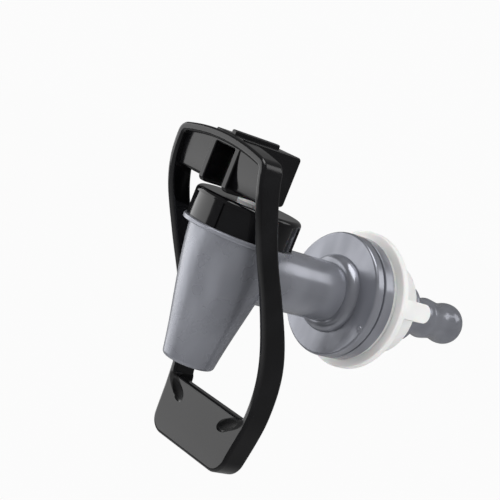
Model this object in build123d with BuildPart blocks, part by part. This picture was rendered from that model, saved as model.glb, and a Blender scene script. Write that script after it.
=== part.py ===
"""Push-lever tap for a drinks dispenser, in millimetres.

The origin is the centre of the flange's sealing face, where the tap meets the
panel that holds it. +Y runs back along the shank to the hose tail, so the user
stands on the -Y side, and +Z is up along the spout.
"""
import os
from math import cos, radians, sin

from build123d import *

os.makedirs("parts", exist_ok=True)

# Spout
spout_reach = 46.0
spout_drop = 36.4
spout_shoulder_drop = 10.0
spout_waist_drop = 24.0
spout_top_wall = 3.6
spout_shoulder_wall = 2.5
spout_waist_r = 9.2
outlet_bore_r = 5.3
outlet_wall = 1.7
outlet_length = 8.0
outlet_lip_round = 1.2

# Collar and threaded neck under the bonnet
collar_above_axis = 9.1
collar_height = 1.2
collar_lip = 0.6
collar_edge_round = 0.3
neck_r = 11.2
neck_height = 4.5
neck_wall = 1.8

# Valve seat and chamber
seat_drop = 16.6
seat_bore_r = 4.4
seat_ring_width = 1.2
seat_ring_height = 1.0
seat_bore_length = 3.0
chamber_taper_drop = 10.1
plug_overlap = 0.7
plug_room = 1.3

# Inlet tube and flange
tube_r = 8.3
tube_wall = 2.9
tube_root_round = 2.6
flange_r = 17.3
flange_thickness = 7.0
flange_disc = 2.8
flange_groove_width = 0.6
flange_groove_depth = 0.8
flange_front_round = 0.7
flange_edge_round = 0.25

# Shank and hose tail
shank_r = 8.8
shank_length = 21.5
shank_chamfer = 1.0
shank_end_wall = 3.0
tail_r = 5.4
tail_wall = 1.9
tail_neck = 9.3
tail_bead_rise = 0.45
tail_bulb_rise = 0.5
tail_groove_sink = 0.1
tail_nose_sink = 0.9
tail_pitch = 2.9
tail_nose_length = 4.9

# Bonnet
bonnet_wall = 3.0
bonnet_plate = 1.6
bonnet_land = 1.0
bonnet_edge_round = 1.3
bonnet_guide_wall = 0.94
bonnet_guide_length = 3.0
thread_play = 0.2
grip_count = 6
grip_first_angle = -69.0
grip_rib_width = 1.3
grip_depth = 0.55
grip_top_land = 1.4

# Stem, its pin and the return spring
stem_r = 3.5
stem_play = 0.06
stem_flange_thickness = 1.4
stem_neck_r = 2.2
stem_neck_length = 1.6
stem_bulb_r = 3.1
stem_bulb_height = 2.4
stem_bulb_play = 0.1
pin_r = 1.5
pin_play = 0.05
pin_rise = 6.4
pin_recess = 0.2
pin_bite = 0.8
pin_end_play = 0.1
spring_wire_r = 0.45
spring_play = 0.25
spring_turns = 5.0

# Silicone seat cup
cup_rim_thickness = 1.0
cup_wall = 0.8
cup_flare = 0.6
cup_floor = 3.6
cup_edge_round = 0.6
cup_step = 1.0
cup_play = 0.2

# Block at the top of the lever, around the stem's head
cheek_thickness = 1.9
cheek_gap = 1.2
cheek_front = 14.6
cheek_toe_length = 12.0
cheek_toe_round = 1.5
slot_play = 0.5
slot_head_room = 2.2
slot_top_wall = 3.2
head_play = 0.4
block_back_wall = 1.7
block_back_rise = 0.7
rib_width = 1.5
rib_height = 1.1
rib_front_inset = 0.9
rib_back_inset = 4.0
rib_round = 0.4
block_round = 1.0
block_edge_round = 0.35

# Lever loop seen from the front: half-widths are taken in from the widest place
arm_gap = 3.8
loop_wall = 2.4
hood_sink = 0.2
hood_arch = 2.3
hood_taper = 2.3
hood_corner_round = 3.4
side_round = 60.0
waist_length = 18.0
paddle_gap = 8.0
paddle_height = 16.2
paddle_taper = 2.4
foot_taper = 4.6
foot_corner_round = 5.0
window_corner_round = 1.5

# Lever loop seen from the side: front edge behind the spout's axis
hood_front = -16.3
hood_middle_front = -15.7
hood_foot_front = -12.2
arm_upper_front = -6.5
arm_middle_front = 2.7
arm_lower_front = 7.75
arm_foot_front = 10.35
paddle_front = 10.6
paddle_lower_front = 10.0
foot_front = 9.9
arm_depth = 6.8
arm_middle_depth = 7.8
paddle_depth = 7.3
hood_middle_drop = 7.9
hood_foot_drop = 17.9
rim_round = 0.9

# Hollows in the lever
hood_recess = 2.0
hood_wall = 2.2
hood_wall_rise = 2.1
hood_foot_round = 1.2
paddle_wall = 2.6
dimple_depth = 0.7
dimple_half_width = 1.7
dimple_half_length = 5.3
dimple_inset = 5.4
dimple_drop = 2.5
dimple_angle = 30.0

# Sealing washer and wing nut
washer_inset = 0.5
washer_thickness = 1.4
nut_flange_r = 19.35
nut_flange_thickness = 2.2
nut_root_r = 17.0
nut_end_r = 13.2
nut_length = 12.4
nut_lug_width = 5.2
nut_lug_reach = 18.7
nut_lug_angle = 13.6
nut_edge_round = 0.5

# Heights up the spout's axis
collar_top_z = collar_above_axis
collar_bottom_z = collar_top_z - collar_height
neck_top_z = collar_top_z + neck_height
cup_rim_top_z = neck_top_z + cup_rim_thickness
bonnet_plate_z = cup_rim_top_z + bonnet_land
bonnet_top_z = bonnet_plate_z + bonnet_plate
spout_bottom_z = collar_top_z - spout_drop
seat_z = collar_top_z - seat_drop
chamber_taper_z = collar_top_z - chamber_taper_drop
pin_z = bonnet_top_z + pin_rise

# Radii that follow from the ones above
bonnet_bore_r = neck_r + thread_play
bonnet_r = bonnet_bore_r + bonnet_wall
collar_r = bonnet_r + collar_lip
chamber_r = neck_r - neck_wall
spout_top_r = chamber_r + spout_top_wall
spout_shoulder_r = chamber_r + spout_shoulder_wall
spout_outlet_r = outlet_bore_r + outlet_wall
seat_ring_r = seat_bore_r + seat_ring_width
plug_r = seat_ring_r + plug_overlap
chamber_floor_r = plug_r + plug_room
tube_bore_r = tube_r - tube_wall
groove_r = flange_r - flange_groove_depth
tail_bore_r = tail_r - tail_wall
stem_hole_r = stem_r + stem_play
guide_r = stem_hole_r + bonnet_guide_wall
spring_r = guide_r + spring_play + spring_wire_r
stem_flange_r = spring_r + spring_wire_r + spring_play
cup_waist_r = stem_flange_r + cup_play + cup_wall
cup_r = cup_waist_r + cup_flare

# Places along the shank
groove_front_y = -flange_thickness + flange_disc
groove_back_y = groove_front_y + flange_groove_width
tail_bead_y = shank_length + tail_neck
tail_groove_y = tail_bead_y + tail_pitch * 2
tail_bulb_y = tail_groove_y + tail_pitch
tail_end_y = tail_bulb_y + tail_nose_length
nut_flange_y = washer_thickness + nut_flange_thickness
nut_end_y = washer_thickness + nut_length

spout_axis = Axis((0, -spout_reach, 0), (0, 0, 1))
spout_section = Plane.XZ.offset(spout_reach)
shank_section = Plane.XY
# Side view, with its origin on the spout's axis and its first coordinate to the rear
side_view = Plane(origin=(0, -spout_reach, 0), x_dir=(0, 1, 0), z_dir=(1, 0, 0))


def circles(part, radius):
    """Circular edges of one radius."""
    return part.edges().filter_by(GeomType.CIRCLE).filter_by(lambda edge: abs(edge.radius - radius) < 0.01)


# Tap body, one moulding: spout, collar, neck, inlet tube, flange, shank and hose tail
with BuildPart() as tap_body:
    with BuildSketch(spout_section):
        with BuildLine():
            Polyline(
                (spout_outlet_r, spout_bottom_z),
                (0, spout_bottom_z),
                (0, neck_top_z),
                (neck_r, neck_top_z),
                (neck_r, collar_top_z),
                (collar_r, collar_top_z),
                (collar_r, collar_bottom_z),
                (spout_top_r, collar_bottom_z),
            )
            Spline(
                (spout_top_r, collar_bottom_z),
                (spout_shoulder_r, collar_top_z - spout_shoulder_drop),
                (spout_waist_r, collar_top_z - spout_waist_drop),
                (spout_outlet_r, spout_bottom_z),
            )
        make_face()
    revolve(axis=spout_axis)
    fillet(circles(tap_body, spout_outlet_r), outlet_lip_round)
    fillet(circles(tap_body, collar_r), collar_edge_round)
    with BuildSketch(shank_section):
        with BuildLine():
            Polyline(
                (tube_r + tube_root_round, -flange_thickness),
                (flange_r, -flange_thickness),
                (flange_r, groove_front_y),
                (groove_r, groove_front_y),
                (groove_r, groove_back_y),
                (flange_r, groove_back_y),
                (flange_r, 0),
                (shank_r, 0),
                (shank_r, shank_length - shank_chamfer),
                (shank_r - shank_chamfer, shank_length),
                (0, shank_length),
                (0, -spout_reach),
                (tube_r, -spout_reach),
                (tube_r, -flange_thickness - tube_root_round),
            )
            RadiusArc(
                (tube_r, -flange_thickness - tube_root_round),
                (tube_r + tube_root_round, -flange_thickness),
                -tube_root_round,
            )
        make_face()
    revolve(axis=Axis.Y)
    fillet(circles(tap_body, flange_r).sort_by(Axis.Y)[0], flange_front_round)
    fillet(circles(tap_body, flange_r), flange_edge_round)
    with BuildSketch(shank_section):
        with BuildLine():
            Polyline((tail_r, tail_bead_y - tail_pitch), (tail_r, shank_length), (0, shank_length), (0, tail_end_y))
            Line((0, tail_end_y), (tail_r - tail_nose_sink, tail_end_y))
            Spline(
                (tail_r - tail_nose_sink, tail_end_y),
                (tail_r + tail_bulb_rise, tail_bulb_y),
                (tail_r - tail_groove_sink, tail_groove_y),
                (tail_r + tail_bead_rise, tail_bead_y),
                (tail_r, tail_bead_y - tail_pitch),
                tangents=((1, -0.8), (0, -1)),
            )
        make_face()
    revolve(axis=Axis.Y)
    with BuildSketch(spout_section):
        with BuildLine():
            Polyline(
                (0, neck_top_z),
                (chamber_r, neck_top_z),
                (chamber_r, chamber_taper_z),
                (chamber_floor_r, seat_z - seat_ring_height),
                (seat_ring_r, seat_z - seat_ring_height),
                (seat_ring_r, seat_z),
                (seat_bore_r, seat_z),
                (seat_bore_r, seat_z - seat_bore_length),
                (outlet_bore_r, spout_bottom_z + outlet_length),
                (outlet_bore_r, spout_bottom_z),
                (0, spout_bottom_z),
                close=True,
            )
        make_face()
    revolve(axis=spout_axis, mode=Mode.SUBTRACT)
    with BuildSketch(shank_section):
        with BuildLine():
            Polyline(
                (0, -spout_reach),
                (tube_bore_r, -spout_reach),
                (tube_bore_r, shank_length - shank_end_wall),
                (tail_bore_r, shank_length),
                (tail_bore_r, tail_end_y),
                (0, tail_end_y),
                close=True,
            )
        make_face()
    revolve(axis=Axis.Y, mode=Mode.SUBTRACT)

# Bonnet: a screw cap with six grip ribs and a guide for the stem
with BuildPart() as bonnet_cap:
    with BuildSketch(spout_section):
        with BuildLine():
            Polyline(
                (bonnet_bore_r, collar_top_z),
                (bonnet_r, collar_top_z),
                (bonnet_r, bonnet_top_z),
                (stem_hole_r, bonnet_top_z),
                (stem_hole_r, bonnet_plate_z - bonnet_guide_length),
                (guide_r, bonnet_plate_z - bonnet_guide_length),
                (guide_r, bonnet_plate_z),
                (chamber_r, bonnet_plate_z),
                (chamber_r, cup_rim_top_z),
                (bonnet_bore_r, cup_rim_top_z),
                close=True,
            )
        make_face()
    revolve(axis=spout_axis)
    with BuildSketch(Plane(origin=(0, -spout_reach, collar_top_z), x_dir=(1, 0, 0), z_dir=(0, 0, 1))):
        Circle(bonnet_r + bonnet_wall)
        Circle(bonnet_r - grip_depth, mode=Mode.SUBTRACT)
        with PolarLocations(bonnet_r, grip_count, start_angle=grip_first_angle):
            Rectangle(bonnet_wall * 3, grip_rib_width, mode=Mode.SUBTRACT)
    extrude(amount=bonnet_top_z - grip_top_land - collar_top_z, mode=Mode.SUBTRACT)
    fillet(circles(bonnet_cap, bonnet_r).sort_by(Axis.Z)[-1], bonnet_edge_round)

# Seat cup: one silicone moulding whose rim is clamped under the bonnet
bulb_bottom_z = seat_z + cup_floor
bulb_top_z = bulb_bottom_z + stem_bulb_height
cup_floor_z = bulb_top_z + stem_neck_length
with BuildPart() as seat_cup:
    with BuildSketch(spout_section):
        with BuildLine():
            Polyline(
                (0, seat_z),
                (plug_r, seat_z),
                (plug_r, cup_floor_z - cup_step),
                (cup_waist_r, cup_floor_z),
                (cup_r, neck_top_z),
                (neck_r, neck_top_z),
                (neck_r, cup_rim_top_z),
                (cup_r - cup_wall, cup_rim_top_z),
                (cup_waist_r - cup_wall, cup_floor_z),
                (stem_neck_r, cup_floor_z),
                (stem_neck_r, bulb_top_z),
                (stem_bulb_r, bulb_top_z),
                (stem_bulb_r, bulb_bottom_z),
                (0, bulb_bottom_z),
                close=True,
            )
        make_face()
    revolve(axis=spout_axis)
    fillet(circles(seat_cup, plug_r).sort_by(Axis.Z)[0], cup_edge_round)

# Stem: a bulb in the cup, the spring's flange, a guided rod and an eye for the pin
stem_flange_z = cup_floor_z + stem_bulb_play
spring_foot_z = stem_flange_z + stem_flange_thickness
with BuildPart() as valve_stem:
    with BuildSketch(spout_section):
        with BuildLine():
            Polyline(
                (0, bulb_bottom_z + stem_bulb_play),
                (stem_bulb_r - stem_bulb_play, bulb_bottom_z + stem_bulb_play),
                (stem_bulb_r - stem_bulb_play, bulb_top_z - stem_bulb_play),
                (stem_neck_r - stem_bulb_play, bulb_top_z - stem_bulb_play),
                (stem_neck_r - stem_bulb_play, stem_flange_z),
                (stem_flange_r, stem_flange_z),
                (stem_flange_r, spring_foot_z),
                (stem_r, spring_foot_z),
                (stem_r, pin_z + stem_r),
                (0, pin_z + stem_r),
                close=True,
            )
        make_face()
    revolve(axis=spout_axis)
    # The eye's top is turned about the pin's axis
    with BuildSketch(side_view):
        with Locations((0, pin_z)):
            Circle(stem_r)
        with Locations((0, (pin_z + bulb_bottom_z) / 2)):
            Rectangle(2 * stem_flange_r, pin_z - bulb_bottom_z)
    extrude(amount=stem_flange_r, both=True, mode=Mode.INTERSECT)
    with BuildSketch(side_view):
        with Locations((0, pin_z)):
            Circle(pin_r + pin_play)
    extrude(amount=2 * stem_r, both=True, mode=Mode.SUBTRACT)

# Return spring, between the stem's flange and the bonnet
spring_height = bonnet_plate_z - spring_foot_z - 2 * spring_wire_r
with BuildPart() as return_spring:
    with BuildLine():
        coil = Helix(
            pitch=spring_height / spring_turns,
            height=spring_height,
            radius=spring_r,
            center=(0, -spout_reach, spring_foot_z + spring_wire_r),
        )
    with BuildSketch(Plane(origin=coil @ 0, z_dir=coil % 0)):
        Circle(spring_wire_r)
    sweep(path=coil)

# Lever: places that its views share
slot_half_width = stem_r + slot_play
cheek_half_width = slot_half_width + cheek_thickness
slot_top_z = pin_z + stem_r + slot_head_room
slot_back = stem_r + head_play
block_top_z = slot_top_z + slot_top_wall
block_back = slot_back + block_back_wall
cheek_bottom_z = bonnet_top_z + cheek_gap
hood_top_z = block_top_z - hood_sink
hood_foot_z = hood_top_z - hood_foot_drop
hood_wall_z = bonnet_top_z + hood_wall_rise
paddle_top_z = spout_bottom_z - paddle_gap
paddle_bottom_z = paddle_top_z - paddle_height
arm_drop = hood_foot_z - paddle_top_z
waist = bonnet_r + arm_gap + loop_wall
loop_height = hood_top_z - paddle_bottom_z
loop_reach = 2 * spout_reach

# Side view: height, front edge and depth from the hood down to the paddle's foot
side_stations = [
    (hood_top_z, hood_front, arm_depth),
    (hood_top_z - hood_middle_drop, hood_middle_front, arm_depth),
    (hood_foot_z, hood_foot_front, arm_depth),
    (hood_foot_z - 0.2 * arm_drop, arm_upper_front, arm_depth),
    (hood_foot_z - 0.5 * arm_drop, arm_middle_front, arm_middle_depth),
    (hood_foot_z - 0.7 * arm_drop, arm_lower_front, arm_middle_depth),
    (hood_foot_z - 0.9 * arm_drop, arm_foot_front, paddle_depth),
    (paddle_top_z - 0.15 * paddle_height, paddle_front, paddle_depth),
    (paddle_top_z - 0.65 * paddle_height, paddle_lower_front, paddle_depth),
    (paddle_bottom_z, foot_front, arm_depth),
]
# Front view: right-hand side from the hood's corner to the foot, and its mirror image
right_side = [
    (waist - hood_taper, hood_top_z - hood_arch),
    (waist, bonnet_top_z),
    (waist, bonnet_top_z - waist_length),
    (waist - paddle_taper, paddle_top_z),
    (waist - foot_taper, paddle_bottom_z),
]
left_side = [(-x, z) for x, z in reversed(right_side)]


def front_edge(shift):
    """The loop's front edge in side view, moved to the rear by shift."""
    return [(front + shift, z) for z, front, depth in side_stations]


def rear_edge(shift):
    """The loop's rear edge in side view, moved to the rear by shift."""
    return [(front + depth + shift, z) for z, front, depth in side_stations]


def side_band(front, rear):
    """Side-view face between two such edges, carried on past their ends."""
    top_z = front[0][1] + arm_depth
    foot_z = front[-1][1] - arm_depth
    with BuildSketch(side_view.offset(-2 * waist)) as band:
        with BuildLine():
            Spline(*front)
            Polyline(front[-1], (front[-1][0], foot_z), (rear[-1][0], foot_z), rear[-1])
            Spline(*reversed(rear))
            Polyline(rear[0], (rear[0][0], top_z), (front[0][0], top_z), front[0])
        make_face()
    return band.sketch


loop_band = side_band(front_edge(0), rear_edge(0))
hood_wall_band = side_band(front_edge(hood_recess), front_edge(hood_recess + hood_wall))
paddle_hollow_band = side_band(front_edge(paddle_wall), rear_edge(paddle_depth))

with BuildSketch(Plane.XZ) as loop_outline:
    with BuildLine():
        ThreePointArc(left_side[-1], (0, hood_top_z), right_side[0])
        Polyline(*right_side, *left_side)
    make_face()
    side_corners = loop_outline.vertices().group_by(Axis.Y)[1:-1]
    fillet([corner for pair in side_corners for corner in pair], side_round)
    fillet(loop_outline.vertices().group_by(Axis.Y)[-1], hood_corner_round)
    fillet(loop_outline.vertices().group_by(Axis.Y)[0], foot_corner_round)

with BuildSketch(Plane.XZ) as loop_inside:
    add(loop_outline.sketch)
    offset(amount=-loop_wall)

# The window ends at the paddle, and the hood's back wall closes its upper end
with BuildSketch(Plane.XZ) as loop_window:
    add(loop_inside.sketch)
    with Locations((0, paddle_top_z + loop_height / 2)):
        Rectangle(2 * waist, loop_height, mode=Mode.INTERSECT)
    fillet(loop_window.vertices().group_by(Axis.Y)[0], window_corner_round)

with BuildSketch(Plane.XZ) as hood_window:
    add(loop_inside.sketch)
    with Locations((0, hood_wall_z + loop_height / 2)):
        Rectangle(2 * waist, loop_height, mode=Mode.INTERSECT)

with BuildSketch(Plane.XZ) as paddle_hollow:
    add(loop_inside.sketch)
    with Locations((0, paddle_top_z + window_corner_round - loop_height / 2)):
        Rectangle(2 * waist, loop_height, mode=Mode.INTERSECT)

# Side view of the block whose cheeks hold the pin
with BuildSketch(side_view.offset(-cheek_half_width)) as block_view:
    with BuildLine():
        Polyline(
            (-cheek_front, cheek_bottom_z),
            (-cheek_front, block_top_z),
            (block_back, block_top_z),
            (block_back, cheek_bottom_z + block_back_rise),
            (cheek_toe_length - cheek_front, cheek_bottom_z),
            close=True,
        )
    make_face()
    fillet(block_view.vertices().sort_by(Axis.X)[0:2].sort_by(Axis.Y)[0], cheek_toe_round)
    fillet(block_view.vertices().sort_by(Axis.X)[-2:], block_round)

# Slot for the stem's head, open at the front and below
with BuildPart() as stem_slot:
    with BuildSketch(side_view.offset(-slot_half_width)):
        with Locations((slot_back - loop_height / 2, slot_top_z - loop_height / 2)):
            Rectangle(loop_height, loop_height)
    extrude(amount=2 * slot_half_width)

with BuildPart() as stem_block:
    extrude(block_view.sketch, amount=2 * cheek_half_width)
    add(stem_slot.part, mode=Mode.SUBTRACT)
    fillet(stem_block.edges(), block_edge_round)

# Stiffening rib along the top of the block
with BuildPart() as block_rib:
    with BuildSketch(spout_section.offset(cheek_front - rib_front_inset)):
        with Locations((0, block_top_z)):
            Rectangle(rib_width, 2 * rib_height)
    extrude(amount=-(cheek_front - rib_front_inset + block_back - rib_back_inset))
    fillet(block_rib.edges().group_by(Axis.Z)[-1], rib_round)

with BuildPart() as hood_back:
    extrude(hood_window.sketch, amount=loop_reach)
    extrude(hood_wall_band, amount=4 * waist, mode=Mode.INTERSECT)
    fillet(hood_back.edges().group_by(Axis.Z)[0].sort_by(Axis.Y)[0], hood_foot_round)

with BuildPart() as paddle_back:
    extrude(paddle_hollow.sketch, amount=loop_reach)
    extrude(paddle_hollow_band, amount=4 * waist, mode=Mode.INTERSECT)

with BuildPart() as lever_handle:
    extrude(loop_outline.sketch, amount=loop_reach)
    extrude(loop_band, amount=4 * waist, mode=Mode.INTERSECT)
    extrude(loop_window.sketch, amount=loop_reach, mode=Mode.SUBTRACT)
    rims = [edge for edge in lever_handle.edges() if abs((edge % 0.5).Y) < 0.99]
    fillet(rims, rim_round)
    add(hood_back.part)
    add(paddle_back.part, mode=Mode.SUBTRACT)
    add(stem_block.part)
    add(block_rib.part)
    add(stem_slot.part, mode=Mode.SUBTRACT)
    # Pin hole, through the left cheek and blind in the right one
    with BuildSketch(side_view.offset(slot_half_width + pin_bite + pin_end_play)):
        with Locations((0, pin_z)):
            Circle(pin_r)
    extrude(amount=-2 * cheek_half_width, mode=Mode.SUBTRACT)
    # A teardrop hollow in each upper corner of the paddle's front
    dimple_radius = (dimple_half_width**2 + dimple_depth**2) / (2 * dimple_depth)
    dimple_stand = dimple_radius - dimple_depth
    for side in (-1, 1):
        along = (-side * cos(radians(dimple_angle)), 0, -sin(radians(dimple_angle)))
        middle = (
            side * (waist - paddle_taper - dimple_inset),
            paddle_front - dimple_stand - spout_reach,
            paddle_top_z - dimple_drop,
        )
        dimple_plane = Plane(origin=middle, x_dir=along, z_dir=(-along[2], 0, along[0]))
        with BuildSketch(dimple_plane):
            with BuildLine():
                Spline(
                    (-dimple_half_length, 0.9 * dimple_stand),
                    (0, dimple_stand + 0.75 * dimple_depth),
                    (0.5 * dimple_half_length, dimple_radius),
                    (dimple_half_length, 0.9 * dimple_stand),
                )
                Polyline(
                    (dimple_half_length, 0.9 * dimple_stand),
                    (dimple_half_length, 0),
                    (-dimple_half_length, 0),
                    (-dimple_half_length, 0.9 * dimple_stand),
                )
            make_face()
        revolve(axis=Axis(middle, along), mode=Mode.SUBTRACT)

# Lever pin, pressed into both cheeks and running in the stem's eye
pin_start = cheek_half_width - pin_recess
pin_length = pin_start + slot_half_width + pin_bite
with BuildPart() as lever_pin:
    with BuildSketch(side_view.offset(-pin_start)):
        with Locations((0, pin_z)):
            Circle(pin_r)
    extrude(amount=pin_length)

# Sealing washer behind the flange
with BuildPart() as seal_washer:
    with BuildSketch(Plane.XZ):
        Circle(flange_r - washer_inset)
        Circle(shank_r + thread_play, mode=Mode.SUBTRACT)
    extrude(amount=-washer_thickness)

# Wing nut: flange, tapered hub and two opposite lugs
with BuildPart() as wing_nut:
    with BuildSketch(shank_section):
        with BuildLine():
            Polyline(
                (shank_r, washer_thickness),
                (nut_flange_r, washer_thickness),
                (nut_flange_r, nut_flange_y),
                (nut_root_r, nut_flange_y),
                (nut_end_r, nut_end_y),
                (shank_r, nut_end_y),
                close=True,
            )
        make_face()
    revolve(axis=Axis.Y)
    fillet(circles(wing_nut, nut_flange_r), nut_edge_round)
    fillet(circles(wing_nut, nut_end_r), nut_edge_round)
    for angle in (nut_lug_angle, nut_lug_angle + 180):
        outward = (cos(radians(angle)), 0, sin(radians(angle)))
        with BuildSketch(Plane(origin=(0, 0, 0), x_dir=(0, 1, 0), z_dir=outward)):
            with Locations((nut_end_y - nut_lug_width / 2, 0)):
                Circle(nut_lug_width / 2)
            with Locations(((nut_flange_y + nut_end_y - nut_lug_width / 2) / 2, 0)):
                Rectangle(nut_length - nut_flange_thickness - nut_lug_width / 2, nut_lug_width)
        extrude(amount=nut_lug_reach)
    with BuildSketch(Plane.XZ.offset(-washer_thickness)):
        Circle(shank_r + thread_play)
    extrude(amount=-nut_length, mode=Mode.SUBTRACT)

tap_body.part.label = "tap_body"
bonnet_cap.part.label = "bonnet_cap"
seat_cup.part.label = "seat_cup"
valve_stem.part.label = "valve_stem"
return_spring.part.label = "return_spring"
lever_handle.part.label = "lever_handle"
lever_pin.part.label = "lever_pin"
seal_washer.part.label = "seal_washer"
wing_nut.part.label = "wing_nut"

export_step(tap_body.part, "parts/tap_body.step")
export_step(bonnet_cap.part, "parts/bonnet_cap.step")
export_step(seat_cup.part, "parts/seat_cup.step")
export_step(valve_stem.part, "parts/valve_stem.step")
export_step(return_spring.part, "parts/return_spring.step")
export_step(lever_handle.part, "parts/lever_handle.step")
export_step(lever_pin.part, "parts/lever_pin.step")
export_step(seal_washer.part, "parts/seal_washer.step")
export_step(wing_nut.part, "parts/wing_nut.step")
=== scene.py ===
import math

import bmesh
import bpy
import numpy as np
from mathutils import Matrix, Vector


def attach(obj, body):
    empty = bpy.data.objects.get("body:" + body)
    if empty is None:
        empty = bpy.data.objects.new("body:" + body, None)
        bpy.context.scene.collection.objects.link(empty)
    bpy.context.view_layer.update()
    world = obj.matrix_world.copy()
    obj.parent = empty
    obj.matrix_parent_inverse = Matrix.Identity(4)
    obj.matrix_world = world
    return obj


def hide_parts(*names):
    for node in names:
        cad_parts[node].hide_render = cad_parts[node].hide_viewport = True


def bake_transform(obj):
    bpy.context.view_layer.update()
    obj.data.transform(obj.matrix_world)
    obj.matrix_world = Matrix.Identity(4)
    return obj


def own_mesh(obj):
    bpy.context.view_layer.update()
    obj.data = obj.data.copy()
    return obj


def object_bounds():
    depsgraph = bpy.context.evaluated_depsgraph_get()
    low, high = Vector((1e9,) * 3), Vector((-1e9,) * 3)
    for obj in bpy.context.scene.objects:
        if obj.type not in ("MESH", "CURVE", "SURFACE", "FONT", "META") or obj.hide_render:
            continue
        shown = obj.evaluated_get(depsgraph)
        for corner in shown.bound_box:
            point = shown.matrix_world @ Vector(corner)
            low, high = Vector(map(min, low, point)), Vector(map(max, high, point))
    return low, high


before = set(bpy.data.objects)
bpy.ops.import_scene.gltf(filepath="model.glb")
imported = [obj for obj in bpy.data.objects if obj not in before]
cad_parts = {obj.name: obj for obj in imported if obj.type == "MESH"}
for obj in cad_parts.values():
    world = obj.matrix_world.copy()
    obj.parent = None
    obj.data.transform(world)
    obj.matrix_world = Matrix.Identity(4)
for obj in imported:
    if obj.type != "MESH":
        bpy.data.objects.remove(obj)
CAD_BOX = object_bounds()

bl_info = {
    "name": "Drinks tap finish",
    "version": (1, 0, 0),
    "blender": (4, 5, 0),
    "location": "View3D > Sidebar > Tap",
    "description": "Plastics, steel, screw thread, studio and camera for a push-lever drinks tap",
    "category": "Object",
}

MM = 0.001
# How far the spout's axis stands in front of the flange's sealing face
SPOUT_REACH = 46.0 * MM
# Middle of the gate mark on the flange's front face
GATE_PLACE = (15.1 * MM, -7.0 * MM, -4.8 * MM)
# How deep a piece's foot is sunk into the surface that carries it
BURIED = 0.02 * MM
# Round the thread's ridge: place as a share of the pitch, height as a share of the depth
THREAD_SECTION = (
    (-0.42, 0.0), (-0.30, 0.5), (-0.12, 1.0), (0.12, 1.0),
    (0.30, 0.5), (0.42, 0.0), (0.30, -0.6), (-0.30, -0.6),
)


class TapSizes(bpy.types.PropertyGroup):
    """Sizes of the pieces that are added to the tap."""

    thread_pitch: bpy.props.FloatProperty(
        name="Thread pitch", description="Rise of the shank's thread in one turn",
        default=1.8 * MM, unit="LENGTH", precision=5)
    thread_depth: bpy.props.FloatProperty(
        name="Thread depth", description="Height of the thread's ridge above the shank",
        default=0.45 * MM, unit="LENGTH", precision=5)
    gate_radius: bpy.props.FloatProperty(
        name="Gate mark radius", description="Radius of the moulding gate's stub on the flange",
        default=1.0 * MM, unit="LENGTH", precision=5)


class TapColours(bpy.types.PropertyGroup):
    """Colours of the tap's plastics, rubber and steel."""

    body: bpy.props.FloatVectorProperty(
        name="Body", description="Grey plastic of the spout, tube and flange",
        default=(0.305, 0.314, 0.352), subtype="COLOR", size=3, min=0, max=1)
    body_dark: bpy.props.FloatVectorProperty(
        name="Body flow marks", description="Darker streaks where the plastic flowed",
        default=(0.220, 0.227, 0.256), subtype="COLOR", size=3, min=0, max=1)
    lever: bpy.props.FloatVectorProperty(
        name="Lever", description="Black plastic of the lever and the bonnet",
        default=(0.0030, 0.0030, 0.0035), subtype="COLOR", size=3, min=0, max=1)
    nut: bpy.props.FloatVectorProperty(
        name="Nut", description="White plastic of the wing nut",
        default=(0.85, 0.85, 0.84), subtype="COLOR", size=3, min=0, max=1)
    seal: bpy.props.FloatVectorProperty(
        name="Seal", description="Milky silicone of the washer and the seat cup",
        default=(0.62, 0.62, 0.61), subtype="COLOR", size=3, min=0, max=1)
    steel: bpy.props.FloatVectorProperty(
        name="Steel", description="Stainless steel of the pin and the spring",
        default=(0.58, 0.57, 0.56), subtype="COLOR", size=3, min=0, max=1)


class Signal:
    """A shader socket that can be used in arithmetic; every expression adds Math nodes."""

    def __init__(self, tree, socket):
        self.tree = tree
        self.socket = socket

    def combine(self, operation, first, second=None):
        node = self.tree.nodes.new("ShaderNodeMath")
        node.operation = operation
        for index, value in enumerate((first, second)):
            if value is None:
                continue
            if isinstance(value, Signal):
                self.tree.links.new(value.socket, node.inputs[index])
            else:
                node.inputs[index].default_value = value
        return Signal(self.tree, node.outputs[0])

    def __add__(self, other):
        return self.combine("ADD", self, other)

    __radd__ = __add__

    def __sub__(self, other):
        return self.combine("SUBTRACT", self, other)

    def __rsub__(self, other):
        return self.combine("SUBTRACT", other, self)

    def __mul__(self, other):
        return self.combine("MULTIPLY", self, other)

    def __abs__(self):
        return self.combine("ABSOLUTE", self)

    __rmul__ = __mul__

    def between(self, low, high):
        """0 below low, 1 above high and smooth in between."""
        node = self.tree.nodes.new("ShaderNodeMapRange")
        node.interpolation_type = "SMOOTHSTEP"
        self.tree.links.new(self.socket, node.inputs["Value"])
        node.inputs["From Min"].default_value = low
        node.inputs["From Max"].default_value = high
        return Signal(self.tree, node.outputs["Result"])


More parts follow.
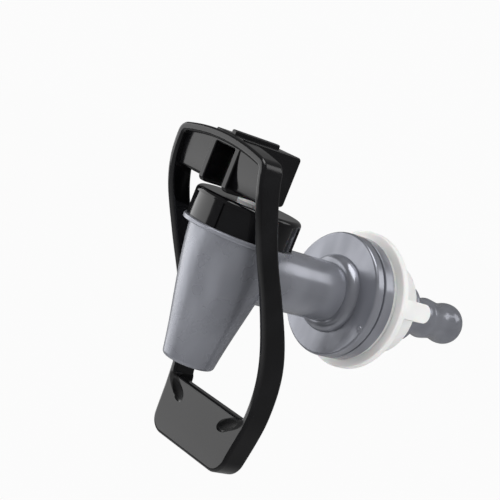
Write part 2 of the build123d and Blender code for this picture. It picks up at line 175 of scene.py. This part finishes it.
class Finish:
    """A node material: its principled shader, object coordinates and one way to add any node."""

    def __init__(self, name):
        self.material = bpy.data.materials.new(name)
        self.material.use_nodes = True
        self.tree = self.material.node_tree
        self.shader = self.tree.nodes["Principled BSDF"]
        self.place = Signal(self.tree, self.node("ShaderNodeTexCoord").outputs["Object"])

    def node(self, kind, settings=None, **sockets):
        """A node of a kind, with its settings and then its sockets' values or links."""
        made = self.tree.nodes.new(kind)
        for key, value in (settings or {}).items():
            setattr(made, key, value)
        for key, value in sockets.items():
            self.feed(made.inputs[key.replace("_", " ")], value)
        return made

    def feed(self, socket, value):
        """Link a signal to a socket, or write a value on it."""
        if isinstance(value, Signal):
            self.tree.links.new(value.socket, socket)
        else:
            socket.default_value = value

    def grain(self, scale, detail=2.0, stretch=(1.0, 1.0, 1.0)):
        """Noise from 0 to 1 over the object, with its cells stretched along the axes."""
        mapped = self.node("ShaderNodeMapping", Vector=self.place, Scale=stretch)
        noise = self.node("ShaderNodeTexNoise", Vector=Signal(self.tree, mapped.outputs[0]),
                          Scale=scale, Detail=detail)
        return Signal(self.tree, noise.outputs["Fac"])

    def axis(self, letter):
        """One object coordinate in metres."""
        split = self.node("ShaderNodeSeparateXYZ", Vector=self.place)
        return Signal(self.tree, split.outputs[letter])

    def blend(self, factor, low, high):
        """A colour between two colours."""
        mix = self.node("ShaderNodeMix", {"data_type": "RGBA"})
        self.feed(mix.inputs["Factor"], factor)
        mix.inputs[6].default_value = (*low, 1.0)
        mix.inputs[7].default_value = (*high, 1.0)
        return Signal(self.tree, mix.outputs[2])

    def relief(self, height, distance):
        """Feed a bump to the shader's normal: height in units of distance, distance in metres."""
        bump = self.node("ShaderNodeBump", Height=height, Distance=distance, Strength=1.0)
        self.feed(self.shader.inputs["Normal"], Signal(self.tree, bump.outputs[0]))

    def paint(self, **sockets):
        """Write values or links on the shader's sockets."""
        for key, value in sockets.items():
            socket = self.shader.inputs[key.replace("_", " ")]
            if isinstance(value, tuple):
                value = (*value, 1.0)
            self.feed(socket, value)
        return self.material


def dress(node, material):
    """Give a carried-over node its finish."""
    piece = bpy.data.objects[node]
    piece.data.materials.clear()
    piece.data.materials.append(material)


def surface(name, grid, material, body=None, capped=False):
    """A mesh piece from a grid of points, row by row, whose columns join up into rings.

    material is the piece's finish. The piece rides on a body
    if one is named, and capped closes the first and the last ring.
    """
    rows, columns = grid.shape[:2]
    row = np.arange(rows - 1)[:, None] * columns
    column = np.arange(columns)[None, :]
    beside = (column + 1) % columns
    above = row + columns
    quads = np.stack([row + column, row + beside, above + beside, above + column], axis=-1)
    faces = quads.reshape(-1, 4).tolist()
    if capped:
        faces.append(list(range(columns))[::-1])
        faces.append(list(range((rows - 1) * columns, rows * columns)))
    mesh = bpy.data.meshes.new(name)
    mesh.from_pydata(grid.reshape(-1, 3).tolist(), [], faces)
    shape = bmesh.new()
    shape.from_mesh(mesh)
    bmesh.ops.remove_doubles(shape, verts=shape.verts, dist=1e-7)
    bmesh.ops.recalc_face_normals(shape, faces=shape.faces)
    shape.to_mesh(mesh)
    shape.free()
    mesh.shade_smooth()
    piece = bpy.data.objects.new(name, mesh)
    bpy.context.scene.collection.objects.link(piece)
    mesh.materials.append(material)
    if body:
        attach(piece, body)
    return piece


def round_spout(radius, angle, height):
    """Points at a radius, an angle and a height round the spout's upright axis."""
    across, along = radius * np.cos(angle), radius * np.sin(angle) - SPOUT_REACH
    return np.stack([across, along, height], axis=-1)


def full_turn(steps):
    """Angles round a full turn, in one row with a column for each step."""
    return np.linspace(0.0, 2 * np.pi, steps, endpoint=False)[None, :]


def shank_thread(sizes, material):
    """The shank's screw thread behind the nut: a ridge of trapezium section, wound in a helix.

    A point at angle t lies at the shank's radius plus the section's height, which fades to
    nothing over the first and last half turn, and rises along the shank by the pitch each turn.
    """
    shank, start, stop, steps_a_turn = 8.8 * MM, 14.9 * MM, 20.3 * MM, 96
    turns = (stop - start) / sizes.thread_pitch
    angle = np.linspace(0.0, 2 * np.pi * turns, int(turns * steps_a_turn))[:, None]
    run_in = np.clip(np.minimum(angle, angle[-1] - angle) / np.pi, 0.0, 1.0)
    width = np.array([place for place, rise in THREAD_SECTION])[None, :] * sizes.thread_pitch
    height = np.array([rise for place, rise in THREAD_SECTION])[None, :] * sizes.thread_depth
    radius = shank - BURIED + np.where(height > 0, height * run_in, height)
    along = start + sizes.thread_pitch * angle / (2 * np.pi) + width
    grid = np.stack([radius * np.cos(angle), along, -radius * np.sin(angle)], axis=-1)
    return surface("shank_thread", grid, material, "tap", capped=True)


def gate_mark(sizes, material):
    """The trimmed stub of the moulding gate on the flange: a low dome with a torn, dished top.

    Height is the dome's fall with radius, less a small dish in the middle and a ripple round it.
    The last row closes the dome from below, inside the flange.
    """
    dome_height, dish_depth, ripple_height, foot = 0.4 * MM, 0.12 * MM, 0.03 * MM, -0.05 * MM
    dish_share, waves, rings, steps_round = 0.35, 5, 14, 40
    ring = np.append(np.linspace(0.0, 1.0, rings), 0.0)[:, None]
    turn = full_turn(steps_round)
    dome = (1 - ring**4) * dome_height
    dish = dish_depth * np.exp(-(ring / dish_share) ** 2)
    ripple = ripple_height * ring * (1 - ring) * np.sin(waves * turn)
    height = dome - dish + ripple
    height[-1] = foot
    right, front, up = GATE_PLACE
    reach = ring * sizes.gate_radius
    grid = np.stack([
        right + reach * np.cos(turn),
        front - height + BURIED,
        up + reach * np.sin(turn),
    ], axis=-1)
    return surface("gate_mark", grid, material, "tap")


def return_coil(material):
    """The return spring, a round wire wound in a helix.

    A point at angle t lies at the coil's radius plus the wire's radius times the cosine of
    the angle round the wire. It rises by the pitch each turn, plus the wire's radius times
    the sine of that angle.
    """
    foot, head, coil, wire, turns = 1.6 * MM, 15.6 * MM, 5.2 * MM, 0.45 * MM, 5
    steps_a_turn, steps_round = 64, 16
    angle = np.linspace(0.0, 2 * np.pi * turns, turns * steps_a_turn + 1)[:, None]
    around = full_turn(steps_round)
    pitch = (head - foot - 2 * wire) / turns
    radius = coil + wire * np.cos(around)
    height = foot + wire + pitch * angle / (2 * np.pi) + wire * np.sin(around)
    grid = round_spout(radius, angle, height)
    piece = surface("return_coil", grid, material, "tap", capped=True)
    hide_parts("return_spring")
    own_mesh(piece)
    return piece


def soft_seat(material):
    """The silicone seat cup, whose wall runs between its clamped rim and the plug on the stem.

    The profile, from the middle of the plug's underside out to the rim and back down inside to
    the pocket of the stem's bulb, is turned about the spout's axis. Each of its corners is eased
    by two points a little way along the sides that meet there.
    """
    underside, floor, rim, rim_top = -7.5, 0.1, 13.6, 14.6
    plug, plug_top, waist, flare, rim_edge = 6.3, -0.9, 6.9, 7.5, 11.2
    wall, neck, pocket, pocket_floor, pocket_top = 0.8, 2.2, 3.1, -3.9, -1.5
    outline = np.array([
        (0, underside), (plug, underside), (plug, plug_top), (waist, floor),
        (flare, rim), (rim_edge, rim), (rim_edge, rim_top), (flare - wall, rim_top),
        (waist - wall, floor), (neck, floor), (neck, pocket_top), (pocket, pocket_top),
        (pocket, pocket_floor), (0, pocket_floor),
    ]) * MM
    ease, step, steps_round = 0.15 * MM, 1.0 * MM, 72
    profile = [outline[:1]]
    for start, stop in zip(outline, outline[1:]):
        length = math.dist(start, stop)
        places = np.linspace(ease, length - ease, max(2, int(length / step) + 1))
        profile.append(start + (stop - start) * places[:, None] / length)
    profile = np.concatenate([*profile, outline[-1:]])
    angle = full_turn(steps_round)
    radius, height = profile[:, :1], np.repeat(profile[:, 1:], angle.size, axis=1)
    piece = surface("soft_seat", round_spout(radius, angle, height), material)
    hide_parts("seat_cup")
    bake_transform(piece)
    return piece


def tone(colour, share):
    """A colour made darker by a share below 1, or lighter by one above 1."""
    return tuple(share * channel for channel in colour)


def grey_plastic(colours):
    """Glossy moulded grey: faint flow marks, soft sinks, orange peel and handling haze."""
    finish = Finish("grey_body")
    flow = finish.grain(190.0, 1.0, (1.0, 0.5, 0.25))
    haze = finish.grain(160.0, 2.0)
    peel = finish.grain(700.0, 0.0)
    sink = finish.grain(110.0, 0.0, (1.0, 1.0, 0.3))
    finish.relief(16.0 * sink + 0.3 * peel, 0.01 * MM)
    fade_front, fade_back = -34.0 * MM, -26.0 * MM
    spout = 1.0 - finish.axis("Y").between(fade_front, fade_back)
    return finish.paint(
        Base_Color=finish.blend(flow.between(0.3, 0.7), colours.body_dark, colours.body),
        Metallic=0.5,
        Roughness=0.16 + 0.10 * haze.between(0.35, 0.75) + 0.10 * spout,
        IOR=1.5,
    )


def black_plastic(colours, name, base_roughness, matte_and_shade_mask=None):
    """Black moulded plastic: fine spark texture and rubbed patches; masked spots rougher, with
    painted shade.
    """
    finish = Finish(name)
    rub = finish.grain(70.0, 4.0)
    spark = finish.grain(2600.0, 2.0)
    finish.relief(spark, 0.006 * MM)
    roughness = base_roughness + 0.08 * rub.between(0.35, 0.7)
    if matte_and_shade_mask:
        # The masked dimples are rougher, and half metallic on the near-black base so they reflect
        # little: painted shade in the recessed dimples
        dimple_matte_and_shade = matte_and_shade_mask(finish)
        roughness = roughness + 0.4 * dimple_matte_and_shade
        finish.paint(Metallic=0.7 * dimple_matte_and_shade)
    lit = tone(colours.lever, 2.0)
    return finish.paint(
        Base_Color=finish.blend(rub.between(0.4, 0.8), colours.lever, lit),
        Roughness=roughness,
        IOR=1.5,
    )


def dimple_mask(finish):
    """1 inside the slanted ellipse in each of the paddle's upper corners, 0 outside."""
    from_middle, below_axis, half_length, half_width = 12.8 * MM, 37.8 * MM, 5.0 * MM, 1.8 * MM
    cosine, sine = 0.866, 0.5
    out = abs(finish.axis("X")) - from_middle
    rise = finish.axis("Z") + below_axis
    along = (cosine * out + sine * rise) * (1 / half_length)
    across = (sine * out - cosine * rise) * (1 / half_width)
    return 1.0 - (along * along + across * across).between(0.75, 1.1)


def white_plastic(colours):
    """White nylon: soft, a little translucent, with a faint moulded texture."""
    finish = Finish("white_nylon")
    cloud = finish.grain(60.0, 3.0)
    grit = finish.grain(1500.0, 2.0)
    finish.relief(grit, 0.01 * MM)
    shade = tone(colours.nut, 0.93)
    return finish.paint(
        Base_Color=finish.blend(cloud.between(0.3, 0.7), shade, colours.nut),
        Roughness=0.38 + 0.1 * cloud,
        IOR=1.52,
        Subsurface_Weight=0.15,
        Subsurface_Scale=2.0 * MM,
    )


def silicone(colours):
    """Milky silicone rubber with a dusty bloom."""
    finish = Finish("milky_silicone")
    bloom = finish.grain(220.0, 5.0)
    finish.relief(bloom, 0.02 * MM)
    shade = tone(colours.seal, 0.9)
    return finish.paint(
        Base_Color=finish.blend(bloom.between(0.35, 0.65), shade, colours.seal),
        Roughness=0.5 + 0.15 * bloom,
        IOR=1.41,
        Subsurface_Weight=0.2,
        Subsurface_Scale=1.0 * MM,
    )


def stainless(colours):
    """Drawn stainless wire and rod: bright, with fine lengthways marks."""
    finish = Finish("stainless_steel")
    drawn = finish.grain(3000.0, 2.0, (0.05, 1.0, 1.0))
    finish.relief(drawn, 0.004 * MM)
    dark = tone(colours.steel, 0.8)
    return finish.paint(
        Base_Color=finish.blend(drawn.between(0.3, 0.7), dark, colours.steel),
        Metallic=1.0,
        Roughness=0.22 + 0.12 * drawn,
    )


class TAP_OT_body(bpy.types.Operator):
    """Finish the grey moulding: spout, collar, tube, flange, shank and hose tail"""

    bl_idname = "tap.body"
    bl_label = "Grey body"

    def execute(self, context):
        plastic = grey_plastic(context.scene.tap_colours)
        dress("tap_body", plastic)
        shank_thread(context.scene.tap_sizes, plastic)
        gate_mark(context.scene.tap_sizes, plastic)
        return {"FINISHED"}


class TAP_OT_lever(bpy.types.Operator):
    """Finish the black lever and bonnet"""

    bl_idname = "tap.lever"
    bl_label = "Black lever and bonnet"

    def execute(self, context):
        colours = context.scene.tap_colours
        dress("lever_handle", black_plastic(colours, "black_lever", 0.12, dimple_mask))
        dress("bonnet_cap", black_plastic(colours, "black_bonnet", 0.08))
        return {"FINISHED"}


class TAP_OT_nut(bpy.types.Operator):
    """Finish the white wing nut and the stem"""

    bl_idname = "tap.nut"
    bl_label = "White nut and stem"

    def execute(self, context):
        plastic = white_plastic(context.scene.tap_colours)
        dress("wing_nut", plastic)
        dress("valve_stem", plastic)
        return {"FINISHED"}


class TAP_OT_seals(bpy.types.Operator):
    """Finish the silicone washer and seat cup"""

    bl_idname = "tap.seals"
    bl_label = "Silicone seals"

    def execute(self, context):
        rubber = silicone(context.scene.tap_colours)
        dress("seal_washer", rubber)
        dress("seat_cup", rubber)
        soft_seat(rubber)
        return {"FINISHED"}


class TAP_OT_metal(bpy.types.Operator):
    """Finish the steel pin and return spring"""

    bl_idname = "tap.metal"
    bl_label = "Steel pin and spring"

    def execute(self, context):
        steel = stainless(context.scene.tap_colours)
        dress("lever_pin", steel)
        dress("return_spring", steel)
        return_coil(steel)
        return {"FINISHED"}


# The camera: turn, rise and roll in the tap's frame, place in metres and lens in millimetres
CAMERA_TURN = math.radians(48.37)
CAMERA_RISE = math.radians(6.77)
CAMERA_ROLL = math.radians(-21.81)
CAMERA_PLACE = (0.30008, -0.30686, 0.05306)
CAMERA_LENS = 112.32

# Each lamp: name, turn and rise in degrees, distance and size in metres, power in watts, and
# whether glossy faces mirror it. Turn is 0 in front of the spout and grows to the right.
LAMPS = (
    ("key_left", -60, 2, 0.6, (0.80, 0.56), 2.4, True),
    ("front_fill", -8, 5, 0.8, (0.5, 0.5), 1.75, False),
    ("rear_fill", 112, 12, 0.7, (0.6, 0.6), 1.1, False),
    ("low_fill", 75, -35, 0.45, (0.4, 0.4), 0.35, False),
    ("top_fill", 20, 75, 0.7, (0.5, 0.5), 3.1, True),
    ("tube_light", 150, 40, 0.7, (0.3, 0.3), 0.45, True),
)
# How far the floor reaches to each side, and its height from the tap's origin, in metres
FLOOR_REACH = 6.0
FLOOR_HEIGHT = -0.5


def camera_axes():
    """Right, up and back of a camera that looks at the tap from the photograph's side, rolled."""
    level = Vector((math.cos(CAMERA_TURN), math.sin(CAMERA_TURN), 0))
    rise = Vector((
        -math.sin(CAMERA_TURN) * math.sin(CAMERA_RISE),
        math.cos(CAMERA_TURN) * math.sin(CAMERA_RISE),
        math.cos(CAMERA_RISE),
    ))
    right = math.cos(CAMERA_ROLL) * level - math.sin(CAMERA_ROLL) * rise
    up = math.sin(CAMERA_ROLL) * level + math.cos(CAMERA_ROLL) * rise
    return right, up, right.cross(up)


def softbox(name, turn, rise, distance, size, power, mirrored):
    """An area lamp that faces the tap's middle; one that isn't mirrored has a narrower beam."""
    wide_beam, narrow_beam = 180, 110
    turn, rise = math.radians(turn), math.radians(rise)
    centre = (Vector(CAD_BOX[0]) + Vector(CAD_BOX[1])) / 2
    level = math.cos(rise)
    way = Vector((math.sin(turn) * level, -math.cos(turn) * level, math.sin(rise)))
    lamp = bpy.data.lights.new(name, "AREA")
    lamp.shape = "RECTANGLE"
    lamp.size, lamp.size_y = size
    lamp.energy = power
    lamp.spread = math.radians(wide_beam if mirrored else narrow_beam)
    holder = bpy.data.objects.new(name, lamp)
    bpy.context.scene.collection.objects.link(holder)
    across = Vector((math.cos(turn), math.sin(turn), 0))
    holder.matrix_world = Matrix.Translation(centre + way * distance) @ Matrix(
        (across, way.cross(across), way)).transposed().to_4x4()
    holder.visible_glossy = mirrored
    return holder


class TAP_OT_stage(bpy.types.Operator):
    """Set the pale floor, the studio lamps, the white world and the camera"""

    bl_idname = "tap.stage"
    bl_label = "Stage and camera"

    def execute(self, context):
        scene = context.scene
        scene.view_settings.view_transform = "Standard"
        mesh = bpy.data.meshes.new("studio_floor")
        corners = ((-1, -1), (1, -1), (1, 1), (-1, 1))
        mesh.from_pydata([(FLOOR_REACH * x, FLOOR_REACH * y, FLOOR_HEIGHT) for x, y in corners],
                         [], [(0, 1, 2, 3)])
        floor = bpy.data.objects.new("studio_floor", mesh)
        scene.collection.objects.link(floor)
        paper = Finish("studio_paper")
        fibre = paper.grain(40.0, 5.0)
        pale = paper.blend(fibre, (0.64, 0.64, 0.64), (0.68, 0.68, 0.68))
        paper.paint(Base_Color=pale, Roughness=0.8)
        self.show_white(paper)
        mesh.materials.append(paper.material)
        self.light_world(scene)
        for lamp in LAMPS:
            softbox(*lamp)
        right, up, back = camera_axes()
        lens = bpy.data.cameras.new("photo_camera")
        lens.lens = CAMERA_LENS
        lens.sensor_width = 36.0
        lens.clip_start = 0.01
        lens.clip_end = 50.0
        camera = bpy.data.objects.new("photo_camera", lens)
        turned = Matrix((right, up, back)).transposed().to_4x4()
        camera.matrix_world = Matrix.Translation(CAMERA_PLACE) @ turned
        scene.collection.objects.link(camera)
        scene.camera = camera
        return {"FINISHED"}

    @staticmethod
    def show_white(paper):
        """The camera sees the paper white, while lamps and shadows fall on its own colour."""
        whiteness = 0.96
        tree = paper.tree
        rays = paper.node("ShaderNodeLightPath")
        camera = Signal(tree, rays.outputs["Is Camera Ray"])
        seen = camera + Signal(tree, rays.outputs["Is Transmission Ray"])
        white = paper.node("ShaderNodeEmission", Color=(1.0, 1.0, 1.0, 1.0), Strength=1.0)
        mix = paper.node("ShaderNodeMixShader")
        paper.feed(mix.inputs[0], whiteness * seen)
        tree.links.new(paper.shader.outputs[0], mix.inputs[1])
        tree.links.new(white.outputs[0], mix.inputs[2])
        tree.links.new(mix.outputs[0], tree.nodes["Material Output"].inputs[0])

    @staticmethod
    def light_world(scene):
        """A dim even world that the camera sees as white and glossy faces a little dimmer."""
        room, background, gloss = 0.22, 0.968, 0.16
        world = bpy.data.worlds.new("studio_world")
        world.use_nodes = True
        scene.world = world
        tree = world.node_tree
        shown = tree.nodes["Background"]
        shown.inputs["Color"].default_value = (1.0, 1.0, 1.0, 1.0)
        rays = tree.nodes.new("ShaderNodeLightPath")
        camera = Signal(tree, rays.outputs["Is Camera Ray"])
        seen = camera + Signal(tree, rays.outputs["Is Transmission Ray"])
        shiny = Signal(tree, rays.outputs["Is Glossy Ray"])
        strength = room + (background - room) * seen + (gloss - room) * shiny
        tree.links.new(strength.socket, shown.inputs["Strength"])


class TAP_PT_panel(bpy.types.Panel):
    """Lists the tap's finishing steps"""

    bl_idname = "TAP_PT_panel"
    bl_label = "Drinks tap"
    bl_space_type = "VIEW_3D"
    bl_region_type = "UI"
    bl_category = "Tap"

    def draw(self, context):
        layout = self.layout
        for group in (context.scene.tap_sizes, context.scene.tap_colours):
            for name in group.__annotations__:
                layout.prop(group, name)
        for step in STEPS:
            layout.operator(step.bl_idname)


STEPS = (TAP_OT_body, TAP_OT_lever, TAP_OT_nut, TAP_OT_seals, TAP_OT_metal, TAP_OT_stage)
CLASSES = (TapSizes, TapColours, *STEPS, TAP_PT_panel)


def register():
    for made in CLASSES:
        bpy.utils.register_class(made)
    bpy.types.Scene.tap_sizes = bpy.props.PointerProperty(type=TapSizes)
    bpy.types.Scene.tap_colours = bpy.props.PointerProperty(type=TapColours)


def unregister():
    del bpy.types.Scene.tap_colours
    del bpy.types.Scene.tap_sizes
    for made in reversed(CLASSES):
        bpy.utils.unregister_class(made)


def main():
    """Run every step in order."""
    register()
    for step in STEPS:
        group, name = step.bl_idname.split(".")
        getattr(getattr(bpy.ops, group), name)()


if __name__ == "__main__":
    main()
